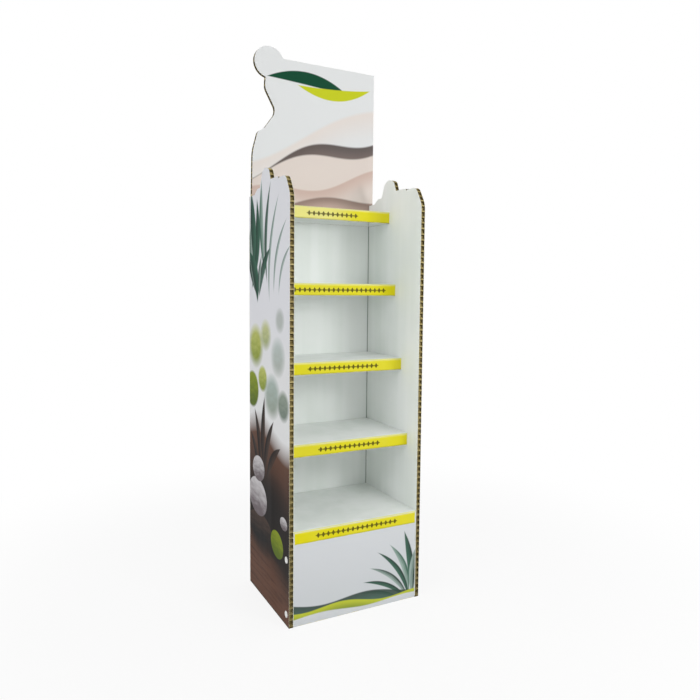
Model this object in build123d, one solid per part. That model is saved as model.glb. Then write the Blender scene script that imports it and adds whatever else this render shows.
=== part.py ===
from build123d import *
from math import asin, atan2, cos, degrees, pi, radians, sqrt, tan
import os

# Free-standing display stand for small goods, made of honeycomb board and folded card.
# Millimetres. The origin is at the middle of the footprint on the floor.
# The open front faces -Y, +X is to the right seen from the front, +Z is up.

# Overall sizes
stand_width = 450.0
stand_depth = 356.0

# Honeycomb board: two paper liners on a core of cells, open where the board is cut
board = 14.0
liner = 1.0
cell_pitch = 17.5
cell_wall = 3.0
cell_back = 7.0
cell_depth = 8.5
cell_overrun = 2.0
cell_margin = 7.0

# Folded card
card = 3.0
fold_inside = 0.5
slip = 0.25
flap_gap = 1.5

# Shelves, the first is the top one, and the deck below them
shelf_count = 4
base_deck_top = 286.0
shelf_pitch = 242.0
lowest_setback = 60.0
setback_step = 45.0
lip_height = 38.0
fascia_recess = 1.0
strip = 0.5
strip_margin = 1.0

# Foot tabs that hang the trays in slots of the side boards
foot_width = 30.0
foot_reach = 8.0
foot_inset = 12.0

# Top edge of the side boards, from the front corner to the rear. Each corner is its
# distance behind the front edge, its height over the side's top, and its radius.
side_over_shelf = 61.0
side_corners = [
    (0.0, -54.0, 60.0),
    (34.0, 1.0, 30.0),
    (87.0, 0.0, 3.0),
    (92.0, -3.0, 0.0),
    (96.0, 5.0, 3.0),
    (157.0, 5.0, 3.0),
    (171.0, 37.0, 18.0),
    (205.0, 48.0, 40.0),
    (232.0, 35.0, 25.0),
    (252.0, -9.0, 4.0),
    (276.0, -9.0, 15.0),
]
rear_drop = 25.0
rear_seat = 52.0
rear_seat_round = 15.0

# Back board with its header, which rises from the rear top of the side boards
header_height = 452.0
tab_count = 4
tab_height = 60.0
tab_reach = 9.0

# Left edge of the header up to its round crown. Each corner is its distance from the
# straight left side, its height over the straight top, and its radius.
header_inset = 4.0
left_corners = [
    (3.0, -306.0, 150.0),
    (20.0, -243.0, 22.0),
    (44.0, -227.0, 3.0),
    (84.0, -172.0, 34.0),
    (45.0, -101.0, 40.0),
]
crown_across = 59.5
crown_below = 17.5
crown_radius = 50.0
crown_start = 47.0
crown_foot = 10.0

# Plinth
return_depth = 80.0
riser_width = 200.0
riser_clear = 12.0

# Plastic push rivets
rivet_behind = 20.0
rivet_heights = {"upper": 200.0, "lower": 35.0}
rivet_head = 20.0
rivet_flat = 15.0
rivet_rise = 1.8
rivet_rim = 0.8
rivet_shank = 9.0
rivet_clear = 0.25
rivet_barb = 11.5
rivet_tip = 7.0
rivet_tip_length = 6.0
rivet_slit = 2.0
rivet_slit_length = 12.0

# Sizes and places that follow
cell_mouth = cell_pitch - cell_wall
bend = card + fold_inside
half_width = stand_width / 2
inner_half = half_width - board
tray_half = inner_half - slip
front = -stand_depth / 2
rear = stand_depth / 2
back_face = rear - board
tray_rear = back_face - slip
side_top = base_deck_top + shelf_count * shelf_pitch + side_over_shelf
rear_top = side_top - rear_drop
header_top = rear_top + header_height
fascia_face = front + fascia_recess
tab_levels = [rear_top * (i + 0.5) / tab_count for i in range(tab_count)]


def shelf_level(number):
    """Top of a shelf's deck, counted from the top shelf."""
    return base_deck_top + (shelf_count + 1 - number) * shelf_pitch


def shelf_front(number):
    """Face of a shelf's lip, counted from the top shelf."""
    return front + lowest_setback + (shelf_count - number) * setback_step


def fitted(corners, closed):
    """Radius of each corner, no larger than its two runs allow."""
    last = len(corners) if closed else len(corners) - 1
    radii = []
    for i in range(0 if closed else 1, last):
        here = Vector(*corners[i][:2])
        before = Vector(*corners[i - 1][:2]) - here
        after = Vector(*corners[(i + 1) % len(corners)][:2]) - here
        turn = pi - before.get_angle(after) * pi / 180
        room = 0.48 * min(before.length, after.length)
        radii.append(min(corners[i][2], room / tan(turn / 2)))
    return radii


def rounded(corners, closed=True):
    """Line through the corners, each rounded by its radius."""
    points = [corner[:2] for corner in corners]
    return FilletPolyline(*points, radius=fitted(corners, closed), close=closed)


def block(x, y, z):
    """Box between two values on each axis."""
    size = Box(x[1] - x[0], y[1] - y[0], z[1] - z[0])
    return Pos((x[0] + x[1]) / 2, (y[0] + y[1]) / 2, (z[0] + z[1]) / 2) * size


def cells(path, skip=()):
    """Plan of the open cells along a cut edge that runs clockwise round its board.

    They keep a margin from the path's ends, where a sharp corner would join two cells.
    """
    room = path.length - 2 * cell_margin
    count = int(room / cell_pitch)
    plans = []
    for i in range(count):
        at = (cell_margin + (i + 0.5) * room / count) / path.length
        place = path.position_at(at)
        along = path.tangent_at(at)
        inward = Vector(along.Y, -along.X)
        if any(low < place.Y < high for low, high in skip):
            continue
        mouth = along * (cell_mouth / 2)
        back = along * (cell_back / 2)
        out = inward * -cell_overrun
        deep = inward * cell_depth
        corners = [
            place - mouth + out,
            place - mouth,
            place - back + deep,
            place + back + deep,
            place + mouth,
            place + mouth + out,
        ]
        plans.append(make_face(Polyline(*corners, close=True)))
    return plans


def honeycomb(plane, face, plans):
    """Board that grows from a plane along its normal, with its cut cells open."""
    core = plane.offset(liner)
    open_cells = [extrude(core * plan, board - 2 * liner) for plan in plans]
    return extrude(plane * face, board) - open_cells


def side_top_corners():
    """Die-cut top of a side board in Y and Z, from the front bottom to the rear top."""
    corners = [(front, 0, 0)]
    for behind, over, radius in side_corners:
        corners.append((front + behind, side_top + over, radius))
    corners.append((rear - rear_seat, rear_top, rear_seat_round))
    corners.append((rear, rear_top, 0))
    return corners


def flange_run(face):
    """Front and rear end of the side flanges behind a lip."""
    return face + card + flap_gap, tray_rear - card - flap_gap


def foot_runs(start):
    """Front and rear end of each foot tab on a side flange that starts here."""
    end = tray_rear - card - flap_gap
    return [
        (start + foot_inset, start + foot_inset + foot_width),
        (end - foot_inset - foot_width, end - foot_inset),
    ]


def trays():
    """Deck level and start of the side flanges of every tray."""
    levels = [(base_deck_top, fascia_face + return_depth + flap_gap)]
    for number in range(1, shelf_count + 1):
        levels.append((shelf_level(number), flange_run(shelf_front(number))[0]))
    return levels


def rivet_hole():
    """Hole for a rivet's shank, along X."""
    return Cylinder(rivet_shank / 2 + rivet_clear, 2 * board, rotation=(0, 90, 0))


def left_side():
    """Left side board with its tab notches, foot slots and rivet holes."""
    top = rounded(side_top_corners(), closed=False)
    back = Polyline((rear, rear_top), (rear, 0))
    bottom = Polyline((rear, 0), (front, 0))
    face = make_face(top.edges() + back.edges() + bottom.edges())
    near = tab_height / 2 + cell_pitch / 2
    beside_tabs = [(level - near, level + near) for level in tab_levels]
    plans = cells(top) + cells(back, beside_tabs) + cells(bottom)
    plane = Plane(origin=(-half_width, 0, 0), x_dir=(0, 1, 0), z_dir=(1, 0, 0))
    side = honeycomb(plane, face, plans)
    inside = -inner_half + slip
    for level in tab_levels:
        reach = tab_height / 2 + slip
        side -= block(
            (-inner_half - tab_reach - slip, inside),
            (back_face - slip, rear + slip),
            (level - reach, level + reach),
        )
    for deck, start in trays():
        foot = deck - lip_height
        for low, high in foot_runs(start):
            side -= block(
                (-inner_half - foot_reach - slip, inside),
                (low - slip, high + slip),
                (foot - slip, foot + card + slip),
            )
    for height in rivet_heights.values():
        side -= Pos(-half_width + board / 2, front + rivet_behind, height) * rivet_hole()
    return side


def header_edges():
    """Left edge with the crown, top and right edge of the header, in X and Z, clockwise."""
    left = header_inset - half_width
    start = [(left, rear_top, 0)]
    for across, over, radius in left_corners:
        start.append((left + across, header_top + over, radius))
    center = (left + crown_across, header_top - crown_below)
    run = crown_start - crown_across
    rise = -sqrt(crown_radius**2 - run**2)
    start.append((left + crown_start, center[1] + rise, 0))
    start_angle = degrees(atan2(rise, run)) % 360
    reach = crown_radius + crown_foot
    end_angle = degrees(asin((crown_foot + crown_below) / reach))
    foot_x = center[0] + reach * cos(radians(end_angle))
    crown_side = rounded(start, closed=False).edges()
    crown_side += CenterArc(center, crown_radius, start_angle, end_angle - start_angle).edges()
    foot = (foot_x, header_top + crown_foot)
    crown_side += CenterArc(foot, crown_foot, 180 + end_angle, 90 - end_angle).edges()
    top = Polyline((foot_x, header_top), (half_width, header_top))
    right_side = Polyline((half_width, header_top), (half_width, rear_top))
    return crown_side, top.edges(), right_side.edges()


def back():
    """Back board: it stands between the sides, and its header rests on their tops."""
    header = header_edges()
    shoulders = Polyline((half_width, rear_top), (header_inset - half_width, rear_top))
    face = make_face([edge for run in header for edge in run] + shoulders.edges())
    face += Pos(0, rear_top / 2) * Rectangle(2 * tray_half, rear_top)
    for level in tab_levels:
        face += Pos(0, level) * Rectangle(2 * (inner_half + tab_reach), tab_height)
    bottom = Polyline((tray_half, 0), (-tray_half, 0))
    plans = cells(bottom)
    for run in header:
        plans += cells(Wire(run))
    plane = Plane(origin=(0, rear, 0), x_dir=(1, 0, 0), z_dir=(0, -1, 0))
    return honeycomb(plane, face, plans)


def channel(face, deck, lip_bottom, rear_bottom):
    """Front flap, deck and rear flange, bent from one sheet over the full width."""
    inner = bend - card
    profile = rounded([
        (face, lip_bottom, 0),
        (face, deck, bend),
        (tray_rear, deck, bend),
        (tray_rear, rear_bottom, 0),
        (tray_rear - card, rear_bottom, 0),
        (tray_rear - card, deck - card, inner),
        (face + card, deck - card, inner),
        (face + card, lip_bottom, 0),
    ])
    plane = Plane(origin=(-tray_half, 0, 0), x_dir=(0, 1, 0), z_dir=(1, 0, 0))
    return extrude(plane * make_face(profile), 2 * tray_half)


def angle(corner, run, drop, side):
    """Section of a sheet bent down at a side edge, in X and a second direction."""
    inner = bend - card
    edge, top = corner
    section = rounded([
        (side * (edge - bend), top, 0),
        (side * edge, top, bend),
        (side * edge, top + drop, 0),
        (side * (edge - card), top + drop, 0),
        (side * (edge - card), top + run, inner),
        (side * (edge - bend), top + run, 0),
    ])
    return make_face(section)


def add_side_flanges(tray, deck, start):
    """Bend a flange down at each side of the deck, with its foot tabs turned outwards."""
    end = tray_rear - card - flap_gap
    foot = deck - lip_height
    for side in (-1, 1):
        strip_x = sorted((side * (tray_half - bend), side * (tray_half + slip)))
        tray -= block(strip_x, (start, end), (deck - card - slip, deck + slip))
        plane = Plane(origin=(0, end, 0), x_dir=(1, 0, 0), z_dir=(0, -1, 0))
        section = angle((tray_half, deck), -card, -lip_height, side)
        tray += extrude(plane * section, end - start)
        foot_x = sorted((side * (tray_half - card), side * (inner_half + foot_reach)))
        for low, high in foot_runs(start):
            tray += block(foot_x, (low, high), (foot, foot + card))
    return tray


def shelf_tray(number):
    """Shelf folded from one sheet: deck, front lip, two side flanges, rear flange."""
    face = shelf_front(number)
    deck = shelf_level(number)
    bottom = deck - lip_height
    tray = channel(face, deck, bottom, bottom)
    return add_side_flanges(tray, deck, flange_run(face)[0])


def base_tray():
    """Base deck and fascia in one sheet, with returns that the rivets hold."""
    tray = channel(fascia_face, base_deck_top, 0, base_deck_top - lip_height)
    flange_start = fascia_face + return_depth + flap_gap
    tray = add_side_flanges(tray, base_deck_top, flange_start)
    return_top = base_deck_top - card - flap_gap
    for side in (-1, 1):
        strip_x = sorted((side * (tray_half - bend), side * (tray_half + slip)))
        front_y = (fascia_face - slip, fascia_face + card + slip)
        tray -= block(strip_x, front_y, (-slip, return_top + flap_gap / 2))
        section = angle((tray_half, fascia_face), card, return_depth, side)
        tray += extrude(Plane.XY * section, return_top)
        for height in rivet_heights.values():
            tray -= Pos(side * tray_half, front + rivet_behind, height) * rivet_hole()
    return tray


def face_strip(face, deck, half):
    """Printed strip on the flat of a lip or fascia, below the fold."""
    return block((-half, half), (face - strip, face), (deck - lip_height, deck - bend))


def base_riser():
    """Folded card under the base deck, which carries its middle."""
    top = base_deck_top - card
    half = riser_width / 2
    inner = bend - card
    profile = rounded([
        (-half, 0, 0),
        (-half, top, bend),
        (half, top, bend),
        (half, 0, 0),
        (half - card, 0, 0),
        (half - card, top - card, inner),
        (-half + card, top - card, inner),
        (-half + card, 0, 0),
    ])
    start = fascia_face + card + riser_clear
    end = tray_rear - card - riser_clear
    plane = Plane(origin=(0, end, 0), x_dir=(1, 0, 0), z_dir=(0, -1, 0))
    return extrude(plane * make_face(profile), end - start)


def left_rivet(height):
    """Push rivet: bevelled head outside, split shank and barb behind the return."""
    grip = board + slip + card + slip
    half_section = Polyline(
        (-rivet_rise, 0),
        (-rivet_rise, rivet_flat / 2),
        (-rivet_rim, rivet_head / 2),
        (0, rivet_head / 2),
        (0, rivet_shank / 2),
        (grip, rivet_shank / 2),
        (grip, rivet_barb / 2),
        (grip + rivet_tip_length, rivet_tip / 2),
        (grip + rivet_tip_length, 0),
        close=True,
    )
    rivet = revolve(make_face(half_section), Axis.X)
    tip = grip + rivet_tip_length
    rivet -= block(
        (tip - rivet_slit_length, tip + slip),
        (-rivet_barb, rivet_barb),
        (-rivet_slit / 2, rivet_slit / 2),
    )
    return Pos(-half_width, front + rivet_behind, height) * rivet


def all_nodes():
    """Every piece of the stand by its name."""
    side = left_side()
    nodes = {
        "left_side_board": side,
        "right_side_board": mirror(side, about=Plane.YZ),
        "back_board": back(),
        "base_tray": base_tray(),
        "base_strip": face_strip(fascia_face, base_deck_top, tray_half - bend),
        "base_riser": base_riser(),
    }
    for number in range(1, shelf_count + 1):
        face = shelf_front(number)
        deck = shelf_level(number)
        nodes[f"shelf_tray_{number}"] = shelf_tray(number)
        nodes[f"shelf_strip_{number}"] = face_strip(face, deck, tray_half - strip_margin)
    for name, height in rivet_heights.items():
        rivet = left_rivet(height)
        nodes[f"rivet_left_{name}"] = rivet
        nodes[f"rivet_right_{name}"] = mirror(rivet, about=Plane.YZ)
    return nodes


os.makedirs("parts", exist_ok=True)
for node_name, solid in all_nodes().items():
    export_step(solid, f"parts/{node_name}.step")
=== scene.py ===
# %% [markdown]
# # A shop display stand of honeycomb board, dressed in Blender
#
# The stand is a tall open case. Two side boards and a back board with a header are cut from
# honeycomb board, which is two paper liners on a core of paper cells. Folded card trays hang
# between them as shelves, each with a yellow printed strip on its lip, and white plastic push
# rivets hold the plinth. The solids come finished from CAD, so this lesson is mostly about
# surfaces: printed and coated paper, raw kraft edges, moulded plastic, and a studio.

# %% Load the stand
import bpy
from math import pi, radians
from mathutils import Matrix, Vector


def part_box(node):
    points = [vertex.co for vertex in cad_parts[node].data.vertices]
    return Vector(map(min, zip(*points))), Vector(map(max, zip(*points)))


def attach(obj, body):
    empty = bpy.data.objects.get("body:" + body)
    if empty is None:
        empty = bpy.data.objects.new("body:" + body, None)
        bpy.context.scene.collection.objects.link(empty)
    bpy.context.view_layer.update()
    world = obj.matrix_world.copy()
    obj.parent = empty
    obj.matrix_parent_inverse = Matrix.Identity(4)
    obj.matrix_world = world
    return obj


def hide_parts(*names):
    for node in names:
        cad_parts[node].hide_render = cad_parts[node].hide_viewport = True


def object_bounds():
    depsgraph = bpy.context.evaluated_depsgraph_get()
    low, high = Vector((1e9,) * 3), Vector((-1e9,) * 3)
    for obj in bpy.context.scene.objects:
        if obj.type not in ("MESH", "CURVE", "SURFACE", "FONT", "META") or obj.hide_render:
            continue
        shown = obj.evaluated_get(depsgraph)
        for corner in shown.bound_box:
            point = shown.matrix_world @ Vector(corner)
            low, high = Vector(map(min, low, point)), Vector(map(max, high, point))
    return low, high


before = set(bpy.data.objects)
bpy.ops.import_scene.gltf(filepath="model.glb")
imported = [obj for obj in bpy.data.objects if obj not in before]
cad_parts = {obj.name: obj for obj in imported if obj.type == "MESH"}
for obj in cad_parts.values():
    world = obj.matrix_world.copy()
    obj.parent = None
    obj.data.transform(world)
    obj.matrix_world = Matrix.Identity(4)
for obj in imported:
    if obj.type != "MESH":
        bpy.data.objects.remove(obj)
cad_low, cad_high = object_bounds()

print("stand from", tuple(round(v, 3) for v in cad_low), "to", tuple(round(v, 3) for v in cad_high))

# %% [markdown]
# ## Reading sizes from the frame
#
# A pattern that is painted by position has to know where the boards are. These places could be
# typed in, but they would be wrong as soon as the stand is made in another size. They are read
# from the boxes of the solids instead, so the paint always follows the part. Only what no box
# can tell, such as how thick a liner is and how far the cells are apart, is typed in. The skin
# is how deep a point may lie and still count as part of a face. All lengths are in metres.

# %% Places of the boards and trays
back_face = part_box("back_board")[0].y
riser_low, riser_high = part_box("base_riser")
tray_low, tray_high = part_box("base_tray")
side_low, side_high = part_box("right_side_board")
board = side_high.x - side_low.x
half_width = side_high.x
half_inside = side_low.x
top_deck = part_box("shelf_tray_1")[1].z
shelf_numbers = (1, 2, 3, 4)
liner = 0.001
cell_pitch = 0.0175
card = 0.003
card_liner = 0.0004
flute_pitch = 0.0065
bend = 0.0035
tray_slip = 0.00025
skin = 0.0002
print("board", round(board * 1000, 1), "mm thick, inner half width", round(half_inside, 4), "m")

# %% [markdown]
# ## Colours as the eye reads them
#
# Blender's shaders count light, so their colour values are linear, while the colours in a
# paint chart or a photo editor are not. One small function turns the usual 0 to 255 values
# into Blender's, and every colour below is written in the usual ones.


# %% Colour from 0 to 255 values
def colour(red, green, blue):
    """Linear colour of a usual red, green and blue from 0 to 255."""
    linear = []
    for value in (red, green, blue):
        share = value / 255
        linear.append(share / 12.92 if share <= 0.04045 else ((share + 0.055) / 1.055) ** 2.4)
    return (*linear, 1.0)


coat_white = colour(249, 252, 250)
coat_inside = colour(238, 243, 239)
kraft_light = colour(192, 177, 122)
kraft_tan = colour(161, 144, 92)
kraft_dark = colour(50, 41, 22)
liner_edge = colour(212, 208, 184)
print("coat in linear values", tuple(round(v, 3) for v in coat_white[:3]))

# %% [markdown]
# ## A short way to write node trees
#
# Materials are trees of nodes. They could be built with long calls to nodes.new and links.new,
# which hide what the tree means. The small class below wraps one tree, so that a sum, a mix or
# a group is one readable line. A value that is a socket is linked, and any other is set.


# %% A pen for node trees
class Pen:
    """Draws nodes in one tree."""

    def __init__(self, tree):
        self.tree = tree

    def feed(self, socket, value):
        """Link a socket to the value if it is one, or else set it."""
        if isinstance(value, bpy.types.NodeSocket):
            self.tree.links.new(value, socket)
        else:
            socket.default_value = value

    def node(self, kind, inputs=None, **settings):
        """Add a node, set its settings, and feed its named inputs."""
        made = self.tree.nodes.new(kind)
        for name, value in settings.items():
            setattr(made, name, value)
        for name, value in (inputs or {}).items():
            self.feed(made.inputs[name], value)
        return made

    def math(self, operation, *values, clamp=False):
        """One sum of a Math node."""
        made = self.node("ShaderNodeMath", operation=operation, use_clamp=clamp)
        for socket, value in zip(made.inputs, values):
            self.feed(socket, value)
        return made.outputs[0]

    def mix(self, factor, under, over, share=1.0):
        """Lay one colour over another by a factor, or by a share of the factor."""
        if share < 1.0:
            factor = self.math("MULTIPLY", factor, share)
        made = self.node("ShaderNodeMix", data_type="RGBA")
        self.feed(made.inputs[0], factor)
        self.feed(made.inputs[6], under)
        self.feed(made.inputs[7], over)
        return made.outputs[2]

    def between(self, value, low, high):
        """The value's way from low to high, smooth and kept from 0 to 1."""
        made = self.node("ShaderNodeMapRange", interpolation_type="SMOOTHSTEP")
        for name, given in (("Value", value), ("From Min", low), ("From Max", high)):
            self.feed(made.inputs[name], given)
        return made.outputs[0]

    def split(self, vector):
        """The three numbers of a vector, by the names X, Y and Z."""
        return self.node("ShaderNodeSeparateXYZ", {"Vector": vector}).outputs

    def noise(self, position, scale, detail=2.0):
        """Soft noise from 0 to 1."""
        made = self.node("ShaderNodeTexNoise", {"Vector": position, "Scale": scale, "Detail": detail})
        return made.outputs["Fac"]

    def group(self, tree, **inputs):
        """Place a node group; a name's underscores stand for spaces."""
        made = self.node("ShaderNodeGroup", node_tree=tree)
        for name, value in inputs.items():
            self.feed(made.inputs[name.replace("_", " ").capitalize()], value)
        return made.outputs


def new_group(name, inputs, outputs):
    """Empty node group with its sockets, its pen, its input sockets and its output sockets."""
    tree = bpy.data.node_groups.new(name, "ShaderNodeTree")
    kinds = {"value": "NodeSocketFloat", "colour": "NodeSocketColor", "vector": "NodeSocketVector"}
    for direction, sockets in (("INPUT", inputs), ("OUTPUT", outputs)):
        for socket_name, kind in sockets.items():
            tree.interface.new_socket(socket_name, in_out=direction, socket_type=kinds[kind])
    pen = Pen(tree)
    given = pen.node("NodeGroupInput").outputs
    result = pen.node("NodeGroupOutput").inputs
    return tree, pen, given, result


print("pen ready")

# %% [markdown]
# ## Which layer of the sheet a point lies on
#
# Board and card are made in layers: a face, a liner, a core, another liner, another face. A
# real sheet shows a different colour on each. Splitting the mesh would work, but the shape
# belongs to CAD. So a node group looks at how deep a point lies under the outer face, and
# gives a mask for each layer. Every board and card material uses it.


# %% Sheet layers group
def make_sheet_layers():
    inputs = {"Depth": "value", "Thickness": "value", "Liner": "value"}
    outputs = {"Outer": "value", "Inner": "value", "Liner edge": "value", "Glue line": "value"}
    tree, pen, given, result = new_group("Sheet layers", inputs, outputs)
    depth = given["Depth"]
    from_back = pen.math("SUBTRACT", given["Thickness"], depth)
    pen.feed(result["Outer"], pen.math("LESS_THAN", depth, skin))
    pen.feed(result["Inner"], pen.math("LESS_THAN", from_back, skin))
    nearest = pen.math("MINIMUM", depth, from_back)
    beyond = pen.math("SUBTRACT", nearest, given["Liner"])
    pen.feed(result["Liner edge"], pen.math("LESS_THAN", beyond, -0.5 * skin))
    # The inner face of a liner is a cell's side wall, which the kraft paper gives a painted shade.
    pen.feed(result["Glue line"], pen.math("LESS_THAN", pen.math("ABSOLUTE", beyond), 0.5 * skin))
    return tree


sheet_layers = make_sheet_layers()
print("group", sheet_layers.name)

# %% [markdown]
# ## Kraft paper
#
# The core is plain brown kraft paper. It has short fibres and a slightly uneven tan. A picture of paper
# could be used, but noise at two scales gives the same look at any size. Deep in a cell the paper gets
# a painted shade: faces that look down, as paper in a cell's roof does, and the cells' side walls are
# darkened. The raw edges also get darker from 0.75 m down towards the floor.

# %% Kraft paper group
blotch_scale = 45.0
fibre_scale = 620.0
darkening_start = 0.75
darkening_full = 0.05


def make_kraft_paper():
    inputs = {"Position": "vector", "Facing up": "value", "Glue line": "value"}
    outputs = {"Colour": "colour", "Height": "value"}
    tree, pen, given, result = new_group("Kraft paper", inputs, outputs)
    position = given["Position"]
    blotch = pen.between(pen.noise(position, blotch_scale, 3.0), 0.36, 0.64)
    fibre = pen.noise(position, fibre_scale)
    tan = pen.mix(blotch, kraft_tan, kraft_light)
    # Painted shade: faces that look down, and the cells' side walls, are darkened as if in shade.
    roof = pen.between(given["Facing up"], 0.15, -0.75)
    roof = pen.math("MULTIPLY", roof, 0.8)
    shade = pen.math("MAXIMUM", roof, pen.math("MULTIPLY", given["Glue line"], 0.7))
    # The raw edges get darker from 0.75 m down towards the floor.
    darker_low = pen.between(pen.split(position)["Z"], darkening_start, darkening_full)
    paper = pen.mix(darker_low, tan, kraft_dark, share=0.45)
    paper = pen.mix(shade, paper, kraft_dark)
    speck = pen.between(fibre, 0.62, 0.78)
    pen.feed(result["Colour"], pen.mix(speck, paper, kraft_dark, share=0.35))
    pen.feed(result["Height"], fibre)
    return tree


kraft_paper = make_kraft_paper()
print("group", kraft_paper.name)

# %% [markdown]
# ## Coated paper
#
# The faces are coated and laminated: smooth, almost white, with a soft gloss. Nothing real is
# perfectly even, though. Seen at a low angle, the cells of the core show through the liner as
# faint dimples, the laminate has long soft streaks from its rollers, and the coat has a very
# fine grain. The group gives a tone, a roughness and a height for all of this.

# %% Coated paper group
cloud_scale = 4.0
grain_scale = 900.0
roller_scale = (20.0, 20.0, 1.3)


def make_coated_paper():
    inputs = {"Position": "vector", "Cell": "value"}
    outputs = {"Tone": "value", "Roughness": "value", "Height": "value"}
    tree, pen, given, result = new_group("Coated paper", inputs, outputs)
    position = given["Position"]
    cloud = pen.noise(position, cloud_scale)
    grain = pen.noise(position, grain_scale, 1.0)
    rolled = pen.node("ShaderNodeMapping", {"Vector": position, "Scale": roller_scale})
    streak = pen.noise(rolled.outputs[0], 1.0, 2.0)
    scale = pen.math("DIVIDE", 1.0, given["Cell"])
    cells = {"Vector": position, "Scale": scale, "Randomness": 0.35}
    dimple = pen.node("ShaderNodeTexVoronoi", cells).outputs["Distance"]
    uneven = pen.math("MULTIPLY_ADD", streak, 0.45, pen.math("MULTIPLY", cloud, 0.55))
    pen.feed(result["Tone"], pen.between(uneven, 0.34, 0.63))
    rough = pen.math("MULTIPLY_ADD", streak, 0.20, 0.34)
    pen.feed(result["Roughness"], pen.math("MULTIPLY_ADD", grain, 0.06, rough))
    pen.feed(result["Height"], pen.math("MULTIPLY_ADD", grain, 0.12, dimple))
    return tree


coated_paper = make_coated_paper()
print("group", coated_paper.name)

# %% [markdown]
# ## Worn edges
#
# A print is rubbed first where its sheet ends, at the foot, the rear corners and the ends of a
# strip. An even pale rim would look drawn on. So a group takes the distance from the nearest
# edge and lets slow noise decide how far the wear reaches, while fine noise frays its border.

# %% Worn edge group
patch_scale = 38.0
fray_scale = 420.0
fray_border = 0.0004


def make_worn_edge():
    inputs = {"Position": "vector", "Distance": "value", "Reach": "value"}
    tree, pen, given, result = new_group("Worn edge", inputs, {"Mask": "value"})
    patch = pen.between(pen.noise(given["Position"], patch_scale, 3.0), 0.42, 0.70)
    fray = pen.math("MULTIPLY_ADD", pen.noise(given["Position"], fray_scale), 0.8, 0.6)
    local = pen.math("MULTIPLY", pen.math("MULTIPLY", patch, fray), given["Reach"])
    inside = pen.math("SUBTRACT", local, given["Distance"])
    pen.feed(result["Mask"], pen.between(inside, 0.0, fray_border))
    return tree


def nearest_edge(pen, place, edges):
    """Distance from the nearest edge; each has its axis, place and the direction into the sheet."""
    nearest = None
    for axis, at, direction in edges:
        away = pen.math("MULTIPLY", pen.math("SUBTRACT", place[axis], at), direction)
        nearest = away if nearest is None else pen.math("MINIMUM", nearest, away)
    return nearest


worn_edge = make_worn_edge()
print("group", worn_edge.name)

# %% [markdown]
# ## Simple printed shapes
#
# The boards carry a generic print of soft stones, grass and hills in the stand's colours. It
# could be painted as an image, but a printed shape is only a rule for which points are inside
# it. One group draws a stroke, which is a round or pointed oval that may be turned and bent,
# with a lighter and a darker side. A second group draws a hill, which is all that lies under a
# waving line. Both lay their shape over the colour that they are given, as a printer does.


# %% Printed stroke group
def make_printed_stroke():
    inputs = {
        "Under": "colour", "Light": "colour", "Dark": "colour",
        "Across": "value", "Up": "value", "Middle across": "value", "Middle up": "value",
        "Half length": "value", "Half width": "value", "Turn": "value", "Bow": "value",
        "Pointed": "value", "Soft": "value", "Strength": "value",
    }
    tree, pen, given, result = new_group("Printed stroke", inputs, {"Colour": "colour"})
    right = pen.math("SUBTRACT", given["Across"], given["Middle across"])
    above = pen.math("SUBTRACT", given["Up"], given["Middle up"])
    cosine = pen.math("COSINE", given["Turn"])
    sine = pen.math("SINE", given["Turn"])
    along = pen.math("MULTIPLY_ADD", right, cosine, pen.math("MULTIPLY", above, sine))
    along = pen.math("DIVIDE", along, given["Half length"])
    aside = pen.math("SUBTRACT", pen.math("MULTIPLY", above, cosine), pen.math("MULTIPLY", right, sine))
    along_squared = pen.math("MULTIPLY", along, along)
    aside = pen.math("SUBTRACT", aside, pen.math("MULTIPLY", along_squared, given["Bow"]))
    aside = pen.math("DIVIDE", aside, given["Half width"])
    left_over = pen.math("SUBTRACT", 1.0, along_squared)
    oval = pen.math("SUBTRACT", left_over, pen.math("MULTIPLY", aside, aside))
    blade = pen.math("SUBTRACT", left_over, pen.math("ABSOLUTE", aside))
    field = pen.math("MULTIPLY_ADD", pen.math("SUBTRACT", blade, oval), given["Pointed"], oval)
    mask = pen.math("DIVIDE", field, given["Soft"], clamp=True)
    mask = pen.math("MULTIPLY", mask, given["Strength"])
    place = pen.node("ShaderNodeCombineXYZ", {"X": along, "Y": pen.math("MULTIPLY", aside, 2.5)})
    brush = pen.noise(place.outputs[0], 1.6)
    side = pen.math("MULTIPLY_ADD", brush, 0.9, pen.math("MULTIPLY", aside, 0.5))
    shape = pen.mix(pen.between(side, 0.0, 0.95), given["Dark"], given["Light"])
    pen.feed(result["Colour"], pen.mix(mask, given["Under"], shape))
    return tree


printed_stroke = make_printed_stroke()
print("group", printed_stroke.name)


# %% Printed hill group
def make_printed_hill():
    inputs = {
        "Under": "colour", "Light": "colour", "Dark": "colour",
        "Across": "value", "Up": "value", "Height": "value", "Slope": "value", "Swing": "value",
        "Wave": "value", "Phase": "value", "Soft": "value", "Deep": "value", "Strength": "value",
    }
    tree, pen, given, result = new_group("Printed hill", inputs, {"Colour": "colour"})
    turns = pen.math("DIVIDE", pen.math("MULTIPLY", given["Across"], 2 * pi), given["Wave"])
    wave = pen.math("SINE", pen.math("ADD", turns, given["Phase"]))
    ground = pen.math("MULTIPLY_ADD", given["Across"], given["Slope"], given["Height"])
    line = pen.math("MULTIPLY_ADD", wave, given["Swing"], ground)
    below = pen.math("SUBTRACT", line, given["Up"])
    mask = pen.math("DIVIDE", below, given["Soft"], clamp=True)
    mask = pen.math("MULTIPLY", mask, given["Strength"])
    shape = pen.mix(pen.between(below, 0.0, given["Deep"]), given["Light"], given["Dark"])
    pen.feed(result["Colour"], pen.mix(mask, given["Under"], shape))
    return tree


printed_hill = make_printed_hill()
print("group", printed_hill.name)


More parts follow.
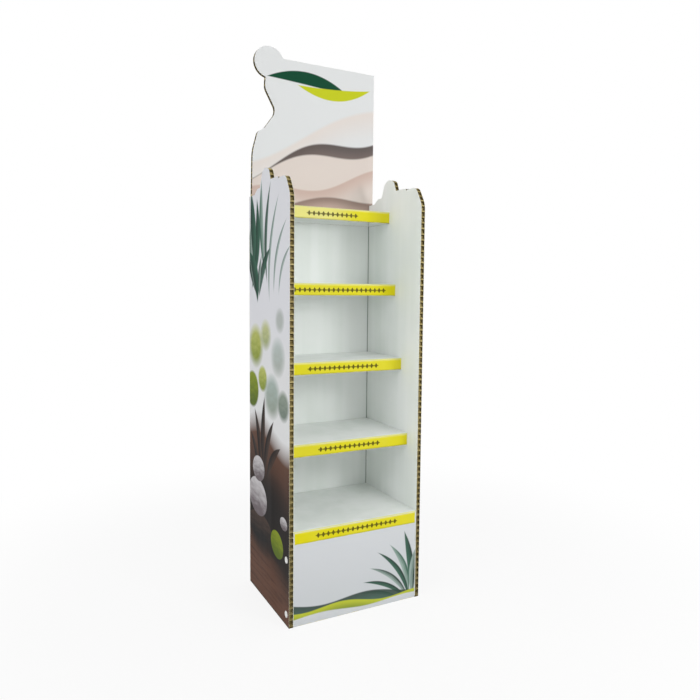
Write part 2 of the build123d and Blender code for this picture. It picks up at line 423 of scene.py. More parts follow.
# %% Laying shapes one over another
def lay_strokes(pen, under, across, up, strokes):
    """Each stroke: middle across, middle up, half length, half width, turn in degrees, bow,
    pointed, soft, strength, light colour, dark colour. Lengths are in metres."""
    for middle, height, length, width, turn, bow, pointed, soft, strength, light, dark in strokes:
        under = pen.group(
            printed_stroke, under=under, light=light, dark=dark, across=across, up=up,
            middle_across=middle, middle_up=height, half_length=length, half_width=width,
            turn=radians(turn), bow=bow, pointed=pointed, soft=soft, strength=strength,
        )["Colour"]
    return under


def lay_hills(pen, under, across, up, hills):
    """Each hill: height, slope, swing, wave, phase, soft, deep, strength, light colour, dark colour."""
    for height, slope, swing, wave, phase, soft, deep, strength, light, dark in hills:
        under = pen.group(
            printed_hill, under=under, light=light, dark=dark, across=across, up=up, height=height,
            slope=slope, swing=swing, wave=wave, phase=phase, soft=soft, deep=deep, strength=strength,
        )["Colour"]
    return under


print("shape lists can be laid")

# %% [markdown]
# ## The print on the sides
#
# Seen from the side, the stand goes from a pale sky with green grass, past soft lights in
# yellow and grey green, to a brown ground with dark reeds and stones. Each shape is one line in
# a list: where it is, how large, how far it is turned, and its two colours, in the order that
# lay_strokes and lay_hills give. Each list runs from the back of the picture to its front,
# because a later shape covers an earlier one.

# %% Colours of the print
sky = colour(230, 231, 236)
sky_low = colour(234, 235, 236)
leaf_dark = colour(12, 50, 38)
leaf_mid = colour(50, 98, 78)
leaf_pale = colour(160, 180, 172)
light_green = colour(134, 150, 30)
light_yellow = colour(190, 196, 96)
pebble_green = colour(88, 108, 26)
mist_green = colour(136, 150, 134)
mist_shade = colour(98, 116, 102)
ground_light = colour(104, 70, 54)
ground_dark = colour(26, 17, 13)
stone_pale = colour(206, 203, 205)
stone_shade = colour(112, 102, 106)
stone_taupe = colour(66, 50, 42)
stone_night = colour(16, 13, 13)
print("print colours ready")

# %% Shapes of the side print
grass_on_side = [
    (-0.020, 1.120, 0.170, 0.010, 104, 0.036, 1.0, 0.25, 0.85, leaf_pale, leaf_mid),
    (-0.075, 1.100, 0.125, 0.009, 116, 0.034, 1.0, 0.25, 0.80, leaf_pale, leaf_mid),
    (-0.120, 1.060, 0.090, 0.008, 124, 0.026, 1.0, 0.25, 0.75, leaf_pale, leaf_mid),
    (0.020, 1.165, 0.160, 0.014, 96, 0.030, 1.0, 0.25, 0.95, leaf_mid, leaf_dark),
    (0.060, 1.180, 0.155, 0.020, 84, 0.020, 1.0, 0.22, 1.00, leaf_pale, leaf_mid),
    (0.100, 1.130, 0.150, 0.026, 100, -0.030, 1.0, 0.20, 1.00, leaf_mid, leaf_dark),
    (0.138, 1.165, 0.150, 0.030, 88, -0.020, 1.0, 0.20, 1.00, leaf_mid, leaf_dark),
    (0.162, 1.080, 0.120, 0.024, 76, 0.030, 1.0, 0.20, 1.00, leaf_pale, leaf_dark),
    (0.118, 1.040, 0.095, 0.028, 64, -0.022, 1.0, 0.20, 1.00, leaf_mid, leaf_dark),
    (0.045, 1.055, 0.090, 0.020, 124, 0.020, 1.0, 0.22, 0.95, leaf_mid, leaf_dark),
    (0.080, 1.035, 0.070, 0.013, 100, 0.012, 1.0, 0.22, 0.95, leaf_pale, leaf_dark),
]
lights_on_side = [
    (0.115, 0.810, 0.074, 0.074, 0, 0.0, 0.0, 0.70, 0.95, light_yellow, light_green),
    (0.022, 0.850, 0.052, 0.052, 0, 0.0, 0.0, 0.80, 0.75, light_yellow, light_green),
    (-0.085, 0.790, 0.064, 0.064, 0, 0.0, 0.0, 0.80, 0.65, leaf_pale, mist_green),
    (0.148, 0.665, 0.062, 0.062, 0, 0.0, 0.0, 0.25, 1.00, light_green, pebble_green),
    (0.050, 0.710, 0.044, 0.044, 0, 0.0, 0.0, 0.45, 0.95, light_yellow, light_green),
    (-0.035, 0.665, 0.074, 0.074, 0, 0.0, 0.0, 0.70, 0.85, leaf_pale, mist_green),
    (-0.130, 0.650, 0.050, 0.050, 0, 0.0, 0.0, 0.60, 0.90, mist_green, mist_shade),
    (-0.100, 0.900, 0.040, 0.040, 0, 0.0, 0.0, 0.80, 0.55, mist_green, mist_green),
]
reeds_on_side = [
    (0.118, 0.470, 0.075, 0.015, 56, -0.014, 1.0, 0.18, 1.00, stone_taupe, stone_night),
    (0.086, 0.515, 0.100, 0.018, 74, -0.016, 1.0, 0.18, 1.00, stone_taupe, stone_night),
    (-0.034, 0.468, 0.090, 0.017, 134, 0.018, 1.0, 0.18, 0.95, stone_taupe, stone_night),
    (0.008, 0.505, 0.105, 0.018, 114, 0.018, 1.0, 0.18, 1.00, stone_taupe, stone_night),
    (0.048, 0.540, 0.120, 0.020, 93, 0.010, 1.0, 0.18, 1.00, stone_taupe, stone_night),
]
stones_on_side = [
    (-0.030, 0.330, 0.150, 0.100, -12, 0.0, 0.0, 1.20, 0.85, stone_night, stone_night),
    (0.070, 0.190, 0.130, 0.050, 2, 0.0, 0.0, 0.90, 0.80, stone_night, stone_night),
    (0.080, 0.225, 0.112, 0.046, -3, 0.0, 0.0, 0.08, 1.00, stone_taupe, stone_night),
    (0.098, 0.318, 0.088, 0.062, 4, 0.0, 0.0, 0.08, 1.00, stone_pale, stone_shade),
    (0.090, 0.412, 0.058, 0.042, -5, 0.0, 0.0, 0.10, 1.00, stone_pale, stone_shade),
    (-0.075, 0.180, 0.080, 0.026, 0, 0.0, 0.0, 1.00, 0.70, stone_night, stone_night),
    (-0.078, 0.218, 0.054, 0.042, 8, 0.0, 0.0, 0.10, 1.00, light_green, pebble_green),
    (-0.134, 0.300, 0.030, 0.020, 0, 0.0, 0.0, 0.12, 1.00, stone_pale, stone_shade),
]
ground_on_side = [(0.575, 0.05, 0.024, 0.42, 0.6, 0.070, 0.26, 1.0, ground_light, ground_dark)]
path_on_side = [(0.225, 0.20, 0.010, 0.30, 2.0, 0.060, 0.16, 0.95, ground_dark, ground_light)]
streak_scale = (1.0, 6.0, 90.0)
print(len(grass_on_side + lights_on_side + reeds_on_side + stones_on_side), "strokes on each side")


# %% Side print group
def make_side_print():
    tree, pen, given, result = new_group("Side print", {"Position": "vector"}, {"Colour": "colour"})
    place = pen.split(given["Position"])
    across = place["Y"]
    up = place["Z"]
    paint = pen.mix(pen.between(up, 0.95, 0.70), sky, sky_low)
    paint = lay_strokes(pen, paint, across, up, grass_on_side)
    paint = lay_strokes(pen, paint, across, up, lights_on_side)
    paint = lay_hills(pen, paint, across, up, ground_on_side)
    paint = lay_strokes(pen, paint, across, up, reeds_on_side)
    paint = lay_hills(pen, paint, across, up, path_on_side)
    stretched = pen.node("ShaderNodeMapping", {"Vector": given["Position"], "Scale": streak_scale})
    grain = pen.between(pen.noise(stretched.outputs[0], 1.0, 3.0), 0.45, 0.70)
    grain = pen.math("MULTIPLY", grain, pen.between(up, 0.26, 0.12))
    paint = pen.mix(grain, paint, ground_dark, share=0.45)
    paint = lay_strokes(pen, paint, across, up, stones_on_side)
    pen.feed(result["Colour"], paint)
    return tree


side_print = make_side_print()
print("group", side_print.name)

# %% [markdown]
# ## The prints on the header and the plinth
#
# The header shows pale hills that climb to the right, with one brown ridge, under two ribbons
# in dark and yellow green. The plinth shows low green banks and a tuft of grass. They use the
# same two groups as the sides, so the whole stand looks like one set.

# %% Header print group
paper_grey = colour(224, 226, 226)
sand_light = colour(226, 215, 207)
sand_rose = colour(204, 178, 166)
earth_light = colour(138, 116, 106)
earth_dark = colour(70, 54, 50)
ribbon_green = colour(24, 74, 52)
ribbon_lime = colour(196, 203, 40)
hills_on_header = [
    (1.520, 0.42, 0.022, 0.62, 0.4, 0.012, 0.12, 0.75, sand_light, paper_grey),
    (1.455, 0.36, 0.030, 0.48, 1.9, 0.006, 0.10, 0.90, earth_dark, earth_light),
    (1.428, 0.30, 0.028, 0.50, 2.3, 0.006, 0.12, 0.95, sand_light, sand_light),
    (1.350, 0.20, 0.022, 0.44, 4.4, 0.006, 0.08, 0.90, sand_rose, sand_light),
    (1.292, 0.10, 0.014, 0.40, 1.0, 0.006, 0.05, 0.90, earth_light, sand_rose),
]
ribbons_on_header = [
    (-0.022, 1.692, 0.150, 0.022, -4, -0.024, 1.0, 0.12, 1.0, ribbon_green, ribbon_green),
    (0.075, 1.652, 0.140, 0.020, 4, 0.026, 1.0, 0.12, 1.0, ribbon_lime, ribbon_lime),
]


def make_header_print():
    tree, pen, given, result = new_group("Header print", {"Position": "vector"}, {"Colour": "colour"})
    place = pen.split(given["Position"])
    paint = lay_hills(pen, paper_grey, place["X"], place["Z"], hills_on_header)
    pen.feed(result["Colour"], lay_strokes(pen, paint, place["X"], place["Z"], ribbons_on_header))
    return tree


header_print = make_header_print()
print("group", header_print.name)

# %% Plinth print group
plinth_top = colour(211, 214, 217)
plinth_low = colour(204, 208, 211)
grass_on_plinth = [
    (0.170, 0.110, 0.100, 0.011, 112, 0.022, 1.0, 0.22, 1.00, leaf_pale, leaf_mid),
    (0.150, 0.100, 0.110, 0.009, 124, 0.026, 1.0, 0.22, 1.00, leaf_mid, leaf_dark),
    (0.192, 0.125, 0.108, 0.013, 98, 0.010, 1.0, 0.20, 1.00, leaf_mid, leaf_dark),
    (0.130, 0.080, 0.100, 0.009, 138, 0.024, 1.0, 0.22, 1.00, leaf_pale, leaf_dark),
    (0.110, 0.060, 0.095, 0.008, 152, 0.020, 1.0, 0.22, 1.00, leaf_mid, leaf_dark),
    (0.202, 0.095, 0.090, 0.014, 84, -0.012, 1.0, 0.20, 1.00, leaf_pale, leaf_dark),
    (0.090, 0.040, 0.080, 0.006, 162, 0.012, 1.0, 0.25, 0.95, leaf_pale, leaf_mid),
]
banks_on_plinth = [
    (0.052, -0.06, 0.010, 0.34, 0.8, 0.003, 0.05, 0.95, leaf_dark, leaf_mid),
    (0.036, -0.05, 0.008, 0.28, 2.6, 0.003, 0.03, 0.95, ribbon_lime, light_green),
    (0.020, -0.02, 0.005, 0.30, 4.0, 0.003, 0.03, 1.00, plinth_top, plinth_low),
]


def make_plinth_print():
    tree, pen, given, result = new_group("Plinth print", {"Position": "vector"}, {"Colour": "colour"})
    place = pen.split(given["Position"])
    paint = pen.mix(pen.between(place["Z"], 0.0, 0.25), plinth_low, plinth_top)
    paint = lay_strokes(pen, paint, place["X"], place["Z"], grass_on_plinth)
    pen.feed(result["Colour"], lay_hills(pen, paint, place["X"], place["Z"], banks_on_plinth))
    return tree


plinth_print = make_plinth_print()
print("group", plinth_print.name)

# %% [markdown]
# ## Board materials
#
# A board material asks the layer group where a point lies and picks its colour: print or coat on the
# faces, a pale line where a liner is cut, and kraft in between. The gloss belongs to the coated faces
# only, so the raw paper gets a high roughness through the same masks. The coat gets a painted shade in
# a thin line at the corners, where the boards meet with a gap, and the very foot of each board gets a
# painted contact shadow. The gloss is weak, or dark print would turn hazy when it is seen at a low
# angle.

# %% Start and end of a paper material
raw_roughness = 0.85


def new_material(name):
    """Material with its pen, its Principled shader and its object position."""
    made = bpy.data.materials.new(name)
    made.use_nodes = True
    pen = Pen(made.node_tree)
    shader = made.node_tree.nodes["Principled BSDF"].inputs
    position = pen.node("ShaderNodeTexCoord").outputs["Object"]
    return made, pen, shader, position


def finish_paper(pen, shader, surface, raw, paint, fibre):
    """Join colour, roughness and bump: the coat's own, and fibres where the paper is raw."""
    pen.feed(shader["Base Color"], paint)
    gloss = pen.math("MULTIPLY", pen.math("SUBTRACT", 1.0, raw), surface["Roughness"])
    pen.feed(shader["Roughness"], pen.math("MULTIPLY_ADD", raw, raw_roughness, gloss))
    smooth = pen.node("ShaderNodeBump", {"Strength": 0.4, "Distance": 0.0003})
    pen.feed(smooth.inputs["Height"], surface["Height"])
    rough = pen.node("ShaderNodeBump", {"Strength": 0.6, "Distance": 0.0004})
    pen.feed(rough.inputs["Height"], pen.math("MULTIPLY", raw, fibre))
    pen.feed(rough.inputs["Normal"], smooth.outputs["Normal"])
    pen.feed(shader["Normal"], rough.outputs["Normal"])


print("paper materials can be made")

# %% Honeycomb board
gap_shade = colour(120, 128, 116)
gap_outer = 0.0030
gap_inner = 0.0008
foot_shadow_top = 0.0060
foot_shadow_low = 0.0015
board_wear = 0.003
board_gloss = 0.04


def board_material(name, axis, face, direction, print_group, edges, plain_below=None):
    """Board whose outer face lies at a place on an axis, with the sheet behind it."""
    made, pen, shader, position = new_material(name)
    place = pen.split(position)
    depth = pen.math("MULTIPLY", pen.math("SUBTRACT", place[axis], face), direction)
    layers = pen.group(sheet_layers, depth=depth, thickness=board, liner=liner)
    facing = pen.split(pen.node("ShaderNodeNewGeometry").outputs["Normal"])["Z"]
    kraft = pen.group(kraft_paper, position=position, facing_up=facing, glue_line=layers["Glue line"])
    surface = pen.group(coated_paper, position=position, cell=cell_pitch)
    from_middle = pen.math("ABSOLUTE", place["X"])
    side_gap = pen.math("ABSOLUTE", pen.math("SUBTRACT", from_middle, half_inside))
    back_gap = pen.math("ABSOLUTE", pen.math("SUBTRACT", place["Y"], back_face))
    # Painted shade in a thin line at the corners, where the boards meet with a gap.
    corner = pen.between(pen.math("MAXIMUM", side_gap, back_gap), gap_outer, gap_inner)
    coat = pen.mix(surface["Tone"], coat_inside, coat_white)
    coat = pen.mix(corner, coat, gap_shade, share=0.8)
    face_paint = pen.group(print_group, position=position)["Colour"]
    if plain_below is not None:
        face_paint = pen.mix(pen.math("LESS_THAN", place["Z"], plain_below), face_paint, coat)
    distance = nearest_edge(pen, place, edges)
    worn = pen.group(worn_edge, position=position, distance=distance, reach=board_wear)["Mask"]
    face_paint = pen.mix(worn, face_paint, liner_edge, share=0.75)
    paint = pen.mix(layers["Liner edge"], kraft["Colour"], liner_edge)
    paint = pen.mix(layers["Inner"], paint, coat)
    paint = pen.mix(layers["Outer"], paint, face_paint)
    # Painted contact shadow along the very foot of the board.
    foot_shadow = pen.between(place["Z"], foot_shadow_top, foot_shadow_low)
    paint = pen.mix(foot_shadow, paint, kraft_dark, share=0.75)
    raw = pen.math("SUBTRACT", 1.0, pen.math("ADD", layers["Outer"], layers["Inner"], clamp=True))
    finish_paper(pen, shader, surface, raw, paint, kraft["Height"])
    shader["Specular IOR Level"].default_value = board_gloss
    return made


foot = ("Z", cad_low.z, 1.0)
side_edges = [foot, ("Y", side_high.y, -1.0)]
dressed = {
    "left_side_board": board_material("left_board", "X", -half_width, 1.0, side_print, side_edges),
    "right_side_board": board_material("right_board", "X", half_width, -1.0, side_print, side_edges),
    "back_board": board_material("back_board", "Y", back_face, 1.0, header_print, [foot], top_deck),
}
print("materials", [material.name for material in dressed.values()])

# %% [markdown]
# ## Card materials
#
# The trays are one sheet of corrugated card, coated on both sides. A point's depth in the sheet is its
# distance from the nearest outer plane of its tray, and round a fold it is the distance from the fold's
# arc, so the coat runs on without a break. Where the sheet is cut, the flutes show as a wave between
# two pale liners, with a painted shade in the hollows between them. The fold of a lip carries the
# yellow of the strip's print, painted paler as a highlight.


# %% Depth under the outer faces of a folded sheet
def folded_depth(pen, place, planes):
    """Depth under planes that are joined by folds; each has its axis, place and direction."""
    total = 0.0
    for axis, face, direction in planes:
        behind = pen.math("MULTIPLY", pen.math("SUBTRACT", place[axis], face), direction)
        short = pen.math("MAXIMUM", pen.math("SUBTRACT", bend, behind), 0.0)
        total = pen.math("MULTIPLY_ADD", short, short, total)
    return pen.math("SUBTRACT", bend, pen.math("SQRT", total))


def tray_planes(node):
    """Outer planes of a tray: its deck, its front, its rear and its two sides."""
    low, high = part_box(node)
    side = half_inside - tray_slip
    deck = ("Z", high.z, -1.0)
    front_and_rear = [("Y", low.y, 1.0), ("Y", high.y, -1.0)]
    return [deck, *front_and_rear, ("X", side, -1.0), ("X", -side, 1.0)]


riser_planes = [("Z", riser_high.z, -1.0), ("X", riser_low.x, 1.0), ("X", riser_high.x, -1.0)]
print("planes of a tray", len(tray_planes("shelf_tray_1")))

# %% Cut edge of corrugated card
flute_rise = 0.0009
flute_paper = 0.00025
flute_gap = 0.00055


def make_card_flutes():
    inputs = {"Position": "vector", "Depth": "value", "Thickness": "value"}
    tree, pen, given, result = new_group("Card flutes", inputs, {"Gap": "value"})
    place = pen.split(given["Position"])
    run = pen.math("ADD", pen.math("ADD", place["X"], place["Y"]), place["Z"])
    wave = pen.math("SINE", pen.math("MULTIPLY", run, 2 * pi / flute_pitch))
    middle = pen.math("MULTIPLY", given["Thickness"], 0.5)
    sheet = pen.math("MULTIPLY_ADD", wave, flute_rise, middle)
    away = pen.math("ABSOLUTE", pen.math("SUBTRACT", given["Depth"], sheet))
    # The gap is 1 in the hollows between the flutes, which the card material paints in shade.
    pen.feed(result["Gap"], pen.between(away, flute_paper, flute_gap))
    return tree


card_flutes = make_card_flutes()
print("group", card_flutes.name)

# %% Folded card
fold_yellow_highlight = colour(226, 224, 140)
fold_drop = 0.002
fold_front = 0.0016
fold_rear = 0.0036
front_wear = 0.0025


def card_material(name, planes, lip=None, print_group=None):
    """Card with outer faces on planes, perhaps a painted yellow highlight on its fold, and a front
    print.
    """
    made, pen, shader, position = new_material(name)
    place = pen.split(position)
    depth = folded_depth(pen, place, planes)
    layers = pen.group(sheet_layers, depth=depth, thickness=card, liner=card_liner)
    gap = pen.group(card_flutes, position=position, depth=depth, thickness=card)["Gap"]
    kraft = pen.group(kraft_paper, position=position, facing_up=1.0, glue_line=0.0)
    surface = pen.group(coated_paper, position=position, cell=flute_pitch)
    coat = pen.mix(surface["Tone"], coat_inside, coat_white)
    face_paint = coat
    if lip is not None:
        # Painted highlight on the fold of the lip, in the pale yellow of the strip's print.
        above = pen.between(place["Z"], lip.z - bend - fold_drop, lip.z - bend)
        in_front = pen.between(place["Y"], lip.y + fold_rear, lip.y + fold_front)
        face_paint = pen.mix(pen.math("MULTIPLY", in_front, above), coat, fold_yellow_highlight)
    if print_group is not None:
        on_front = pen.math("LESS_THAN", place["Y"], tray_low.y + skin)
        edges = [("Z", tray_low.z, 1.0), ("X", tray_low.x, 1.0), ("X", tray_high.x, -1.0)]
        distance = nearest_edge(pen, place, edges)
        worn = pen.group(worn_edge, position=position, distance=distance, reach=front_wear)["Mask"]
        front_paint = pen.mix(worn, pen.group(print_group, position=position)["Colour"], liner_edge)
        face_paint = pen.mix(on_front, face_paint, front_paint)
    # Painted shade in the hollows between the flutes.
    paint = pen.mix(gap, kraft["Colour"], kraft_dark)
    paint = pen.mix(layers["Liner edge"], paint, liner_edge)
    paint = pen.mix(layers["Inner"], paint, coat)
    paint = pen.mix(layers["Outer"], paint, face_paint)
    raw = pen.math("SUBTRACT", 1.0, pen.math("ADD", layers["Outer"], layers["Inner"], clamp=True))
    finish_paper(pen, shader, surface, raw, paint, kraft["Height"])
    return made


def lip_of(node):
    """Corner where the planes of a tray's deck and its lip would meet."""
    low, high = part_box(node)
    return Vector((0, low.y, high.z))


for number in shelf_numbers:
    tray_name = f"shelf_tray_{number}"
    dressed[tray_name] = card_material(tray_name, tray_planes(tray_name), lip_of(tray_name))
base_planes = tray_planes("base_tray")
dressed["base_tray"] = card_material("base_tray", base_planes, lip_of("base_tray"), plinth_print)
dressed["base_riser"] = card_material("base_riser", riser_planes)
print("solids with a material so far", len(dressed))

# %% [markdown]
# ## The yellow strips
#
# Each strip is a thin printed card on a lip. It is a strong yellow with a little green in it, with a
# painted highlight along its upper edge, where it catches the light, and a painted shade along its
# lower edge. Its middle carries a row of lozenges, with a small square in each gap, as plain ornament.
# The top strip gets a painted highlight that makes it paler towards the left.

# %% Strip ornament group
lozenge_half = 0.0064
lozenge_solid = 0.0057
lozenge_lean = 0.72
square_half = 0.0022
square_solid = 0.0018


def make_strip_ornament():
    inputs = {"Across": "value", "Up": "value", "Pitch": "value", "Reach": "value"}
    tree, pen, given, result = new_group("Strip ornament", inputs, {"Mask": "value"})
    across = given["Across"]
    pitch = given["Pitch"]
    half = pen.math("MULTIPLY", pitch, 0.5)
    height = pen.math("ABSOLUTE", given["Up"])
    place = pen.math("FLOORED_MODULO", pen.math("ADD", across, half), pitch)
    from_middle = pen.math("ABSOLUTE", pen.math("SUBTRACT", place, half))
    from_lozenge = pen.math("MULTIPLY_ADD", height, lozenge_lean, from_middle)
    lozenge = pen.between(from_lozenge, lozenge_half, lozenge_solid)
    between = pen.math("FLOORED_MODULO", across, pitch)
    from_gap = pen.math("ABSOLUTE", pen.math("SUBTRACT", between, half))
    square = pen.between(pen.math("MAXIMUM", from_gap, height), square_half, square_solid)
    within = pen.math("LESS_THAN", pen.math("ABSOLUTE", across), given["Reach"])
    pen.feed(result["Mask"], pen.math("MULTIPLY", pen.math("MAXIMUM", lozenge, square), within))
    return tree


strip_ornament = make_strip_ornament()
print("group", strip_ornament.name)

# %% Strip material
strip_yellow = colour(225, 215, 16)
strip_pale = colour(236, 230, 144)
strip_shade = colour(176, 168, 44)
strip_ink = colour(70, 62, 14)
strip_pitch = 0.0165
lozenges_beside = {
    "shelf_strip_1": 5,
    "shelf_strip_2": 10,
    "shelf_strip_3": 7,
    "shelf_strip_4": 6,
    "base_strip": 8,
}
strip_rim = 0.005
highlight_start = 0.10
highlight_end = -0.05
top_strip_highlight = 0.85
strip_wear = 0.0014
strip_gloss = 0.15


def strip_material(name, left_highlight):
    """Printed strip of a lip; the last argument is how much of its left part is painted paler as a
    highlight.
    """
    reach = (lozenges_beside[name] + 0.5) * strip_pitch
    made, pen, shader, position = new_material(name)
    low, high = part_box(name)
    place = pen.split(position)
    up = pen.math("SUBTRACT", place["Z"], (low.z + high.z) / 2)
    ink = pen.group(strip_ornament, across=place["X"], up=up, pitch=strip_pitch, reach=reach)["Mask"]
    surface = pen.group(coated_paper, position=position, cell=flute_pitch)
    # Painted highlight that makes the strip paler towards the left.
    paler = pen.math("MULTIPLY", pen.between(place["X"], highlight_start, highlight_end), left_highlight)
    paint = pen.mix(paler, strip_yellow, strip_pale)
    paint = pen.mix(surface["Tone"], paint, strip_pale, share=0.10)
    paint = pen.mix(ink, paint, strip_ink, share=0.9)
    # Painted highlight along the upper edge of the strip.
    upper_highlight = pen.between(place["Z"], high.z - strip_rim, high.z)
    paint = pen.mix(upper_highlight, paint, strip_pale, share=0.6)
    # Painted shade along the lower edge of the strip.
    lower_shade = pen.between(place["Z"], low.z + strip_rim, low.z)
    paint = pen.mix(lower_shade, paint, strip_shade, share=0.7)
    edges = [("Z", low.z, 1.0), ("Z", high.z, -1.0), ("X", low.x, 1.0), ("X", high.x, -1.0)]
    distance = nearest_edge(pen, place, edges)
    worn = pen.group(worn_edge, position=position, distance=distance, reach=strip_wear)["Mask"]
    paint = pen.mix(worn, paint, liner_edge, share=0.8)
    finish_paper(pen, shader, surface, 0.0, paint, 0.0)
    shader["Specular IOR Level"].default_value = strip_gloss
    return made


for number in shelf_numbers:
    strip_name = f"shelf_strip_{number}"
    dressed[strip_name] = strip_material(strip_name, top_strip_highlight if number == 1 else 0.0)
dressed["base_strip"] = strip_material("base_strip", 0.0)
print("solids with a material now", len(dressed))

# %% Put the materials on the solids
for name, material in dressed.items():
    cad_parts[name].material_slots[0].material = material
print("dressed", len(dressed), "solids")

# %% [markdown]
# ## Push rivets
#
# A push rivet is moulded in white plastic, with a low round head outside and a split shank
# with a barb inside. The CAD solid is exact, but its head has the hard edges of a turned part,
# where a moulded one is soft. So a new rivet is modelled from a cylinder. Its rim is bevelled
# round, its face is inset and pushed in a little for the pin, and its shank is extruded from
# the rear. A Boolean then cuts the slit, because no edge of the round shank runs along it. The
# finished rivet takes the place of the solid.

# %% Plastic
plastic_low = colour(236, 236, 234)
plastic_high = colour(246, 246, 244)
plastic_grain = 900.0


def plastic_material():
    made, pen, shader, position = new_material("rivet_plastic")
    noise = pen.noise(position, plastic_grain)
    tone = pen.between(noise, 0.3, 0.7)
    pen.feed(shader["Base Color"], pen.mix(tone, plastic_low, plastic_high))
    pen.feed(shader["Roughness"], pen.math("MULTIPLY_ADD", noise, 0.12, 0.28))
    bump = pen.node("ShaderNodeBump", {"Strength": 0.2, "Distance": 0.0001, "Height": noise})
    pen.feed(shader["Normal"], bump.outputs["Normal"])
    return made


rivet_plastic = plastic_material()
print("material", rivet_plastic.name)


# %% Select by place
def pick_faces(piece, wanted):
    """Select only the faces of a mesh that a rule wants."""
    bpy.ops.object.mode_set(mode="OBJECT")
    for group in (piece.data.vertices, piece.data.edges, piece.data.polygons):
        group.foreach_set("select", [False] * len(group))
    for face in piece.data.polygons:
        face.select = wanted(face)
    bpy.ops.object.mode_set(mode="EDIT")
    bpy.ops.mesh.select_mode(type="FACE")


def apply_place(piece):
    """Move the place of an object into its mesh."""
    bpy.ops.object.select_all(action="DESELECT")
    piece.select_set(True)
    bpy.context.view_layer.objects.active = piece
    bpy.ops.object.transform_apply(location=True, rotation=True, scale=True)


print("faces can be picked by place")


# %% Slit in the shank
def split_shank(rivet, place, size):
    """Take a thin block out of the end of the shank, so that its barbs can spring."""
    bpy.ops.object.select_all(action="DESELECT")
    bpy.ops.mesh.primitive_cube_add(size=1.0, location=place, scale=size)
    blade = bpy.context.object
    cut = rivet.modifiers.new("slit", "BOOLEAN")
    cut.operation = "DIFFERENCE"
    cut.object = blade
    blade.select_set(False)
    rivet.select_set(True)
    bpy.context.view_layer.objects.active = rivet
    bpy.ops.object.modifier_apply(modifier=cut.name)
    bpy.data.objects.remove(blade)


print("a shank can be split")

# %% One rivet
head_sides = 48
square_on = 0.9
rim_round = 0.75
rim_steps = 5
face_inset = 0.38
pin_inset = 0.03
pin_depth = 0.25
shank_inset = 0.55
shank_share = 0.74
barb_step = 0.0001
barb_flare = 1.28
point_share = 0.25
point_size = 0.6
slit_width = 0.002
slit_reach = 0.024
smooth_angle = radians(40)


def make_rivet(node):
    """Rivet in the place of a CAD rivet, with its head outside the side board."""
    low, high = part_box(node)
    left = low.x < 0
    centre = (low + high) / 2
    head_radius = (high.y - low.y) / 2
    rise = -half_width - low.x if left else high.x - half_width
    length = (high.x - low.x) - rise
    bpy.ops.object.select_all(action="DESELECT")
    bpy.ops.mesh.primitive_cylinder_add(
        vertices=head_sides, radius=head_radius, depth=rise, location=(0, 0, rise / 2),
    )
    rivet = bpy.context.object
    rivet.name = node.replace("rivet", "push_rivet")
    apply_place(rivet)
    pick_faces(rivet, lambda face: face.normal.z > square_on)
    bpy.ops.mesh.bevel(offset=rise * rim_round, segments=rim_steps, affect="EDGES")
    pick_faces(rivet, lambda face: face.normal.z > square_on and face.area > head_radius**2)
    bpy.ops.mesh.inset(thickness=head_radius * face_inset, depth=0)
    bpy.ops.mesh.inset(thickness=head_radius * pin_inset, depth=-rise * pin_depth)
    pick_faces(rivet, lambda face: face.normal.z < -square_on)
    bpy.ops.mesh.inset(thickness=head_radius * shank_inset, depth=0)
    shank = (length * shank_share, 1.0)
    point = (length * point_share, point_size)
    for reach, size in (shank, (barb_step, barb_flare), point):
        bpy.ops.mesh.extrude_region_move(TRANSFORM_OT_translate={"value": (0, 0, -reach)})
        bpy.ops.transform.resize(value=(size, size, 1), center_override=(0, 0, -length))
    bpy.ops.object.mode_set(mode="OBJECT")
    split_shank(rivet, (0, 0, -length), (head_radius * 3, slit_width, slit_reach))
    bpy.ops.object.shade_smooth_by_angle(angle=smooth_angle)
    turn = -pi / 2 if left else pi / 2
    rivet.rotation_euler = (0, turn, 0)
    rivet.location = (-half_width if left else half_width, centre.y, centre.z)
    apply_place(rivet)
    rivet.data.materials.append(rivet_plastic)
    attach(rivet, "root")
    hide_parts(node)
    return rivet


rivets = []
for side in ("left", "right"):
    for level in ("upper", "lower"):
        rivets.append(make_rivet(f"rivet_{side}_{level}"))
print("rivets", [rivet.name for rivet in rivets])

# %% [markdown]
# ## Studio
#
# The stand is photographed on white, in soft light from large lamps. One smaller key lamp
# stands near it at the front right. It puts the right part of each bay, and a strip under each
# lip, in a soft shadow, which shows how deep the bays are. A wide floor catches a faint shadow.
# Cameras and mirrors see the floor and the world as plain white, while the light that falls on
# the stand stays at a level where each colour shows about as it was written.


# %% What only the camera and mirrors see
def seen_directly(pen):
    """1 for rays that come from the camera, a gloss or a clear piece, and 0 for others."""
    path = pen.node("ShaderNodeLightPath").outputs
    seen = pen.math("MAXIMUM", path["Is Camera Ray"], path["Is Glossy Ray"])
    return pen.math("MAXIMUM", seen, path["Is Transmission Ray"])


print("direct rays can be told apart")

# %% Floor
floor_size = 60.0
floor_white = colour(240, 240, 240)
shadow_near = 0.7
shadow_far = 1.8
white_near = 0.86


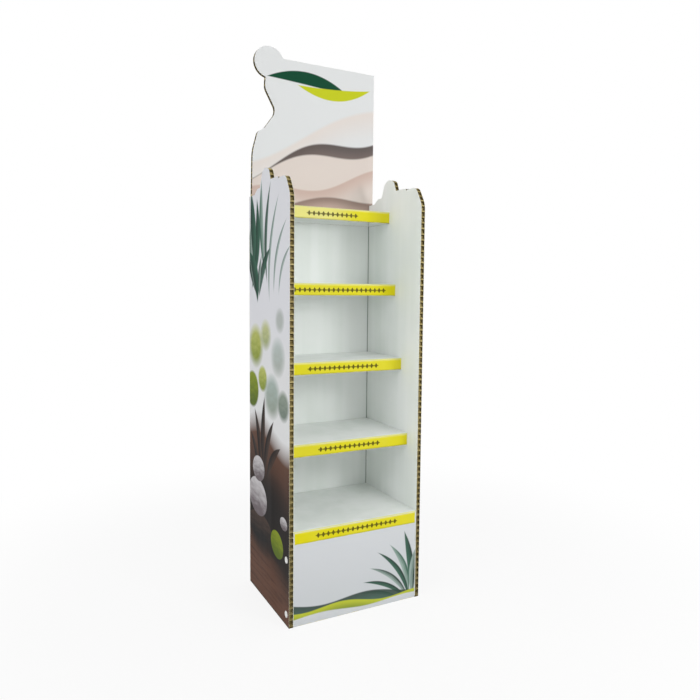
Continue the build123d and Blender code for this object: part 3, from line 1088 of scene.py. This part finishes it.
def floor_material():
    """White paper that keeps the shadow near the stand and turns to plain white further out."""
    made = bpy.data.materials.new("floor_paper")
    made.use_nodes = True
    pen = Pen(made.node_tree)
    made.node_tree.nodes.clear()
    position = pen.node("ShaderNodeTexCoord").outputs["Object"]
    distance = pen.node("ShaderNodeVectorMath", {0: position}, operation="LENGTH").outputs["Value"]
    away = pen.between(distance, shadow_near, shadow_far)
    share = pen.math("MULTIPLY_ADD", away, 1 - white_near, white_near)
    paper = pen.node("ShaderNodeBsdfDiffuse", {"Color": floor_white})
    white = pen.node("ShaderNodeEmission", {"Color": (1, 1, 1, 1), "Strength": 1.0})
    seen = pen.math("MULTIPLY", seen_directly(pen), share)
    both = pen.node("ShaderNodeMixShader", {0: seen, 1: paper.outputs[0], 2: white.outputs[0]})
    pen.node("ShaderNodeOutputMaterial", {"Surface": both.outputs[0]})
    return made


bpy.ops.object.select_all(action="DESELECT")
bpy.ops.mesh.primitive_plane_add(size=floor_size, location=(0, 0, cad_low.z))
floor = bpy.context.object
floor.name = "studio_floor"
floor.data.materials.append(floor_material())
print("floor", floor.name)

# %% World
room_strength = 0.6
world = bpy.data.worlds.new("studio_world")
bpy.context.scene.world = world
world.use_nodes = True
world.node_tree.nodes.clear()
room_pen = Pen(world.node_tree)
room = room_pen.node("ShaderNodeBackground", {"Color": (1, 1, 1, 1), "Strength": room_strength})
white = room_pen.node("ShaderNodeBackground", {"Color": (1, 1, 1, 1), "Strength": 1.0})
by_ray = {0: seen_directly(room_pen), 1: room.outputs[0], 2: white.outputs[0]}
both = room_pen.node("ShaderNodeMixShader", by_ray)
room_pen.node("ShaderNodeOutputWorld", {"Surface": both.outputs[0]})
print("world", world.name)

# %% Lamps
# Each line: name, place, what the lamp is aimed at, size in metres, power in watts.
lamp_plan = [
    ("key_lamp", (0.78, -1.85, 1.35), (0, 0, 0.9), 0.5, 9),
    ("front_lamp", (0.3, -3.3, 3.0), (0, 0, 1.1), 2.0, 20),
    ("left_lamp", (-3.6, -1.6, 2.2), (0, 0, 0.9), 2.2, 28),
    ("right_lamp", (3.4, -2.6, 2.4), (0, 0, 0.9), 2.0, 6),
    ("back_lamp", (0.6, 4.0, 2.6), (0, 0, 0.9), 2.4, 14),
]


def add_lamp(name, place, aim, size, power):
    """Large square lamp at a place, turned to what it lights."""
    bpy.ops.object.light_add(type="AREA", location=place)
    lamp = bpy.context.object
    lamp.name = name
    lamp.data.size = size
    lamp.data.energy = power
    lamp.rotation_euler = (Vector(aim) - Vector(place)).to_track_quat("-Z", "Y").to_euler()
    return lamp


lamps = [add_lamp(*planned) for planned in lamp_plan]
print("lamps", [lamp.name for lamp in lamps])

# %% [markdown]
# ## Camera
#
# The photograph was taken from a little left of the front, at about chest height, with the
# camera level but for a slight tilt. The picture was cropped off centre, so the lens is
# shifted by a few hundredths of the width. These values come from matching the stand's corners
# and shelf lines in the photograph, whose frame is 700 by 700 pixels. Angles are in radians.

# %% Camera of the photograph
sensor = 36.0
picture = 700.0
focal_pixels = 652.59
centre_pixels = (369.05, 338.0)
camera_place = (-0.90809, -1.90340, 0.99974)
heading = 0.49860
tilt = -0.07686
roll = 0.01167

bpy.ops.object.camera_add(location=camera_place)
camera = bpy.context.object
camera.name = "photo_camera"
camera.data.sensor_width = sensor
camera.data.lens = focal_pixels / picture * sensor
camera.data.shift_x = (picture / 2 - centre_pixels[0]) / picture
camera.data.shift_y = (centre_pixels[1] - picture / 2) / picture
to_the_right = Matrix.Rotation(-heading, 3, "Z")
upright = Matrix.Rotation(pi / 2 + tilt, 3, "X")
rolled = Matrix.Rotation(roll, 3, "Z")
camera.rotation_euler = (to_the_right @ upright @ rolled).to_euler()
bpy.context.scene.camera = camera
bpy.context.scene.view_settings.view_transform = "Standard"
print("lens", round(camera.data.lens, 2), "mm")
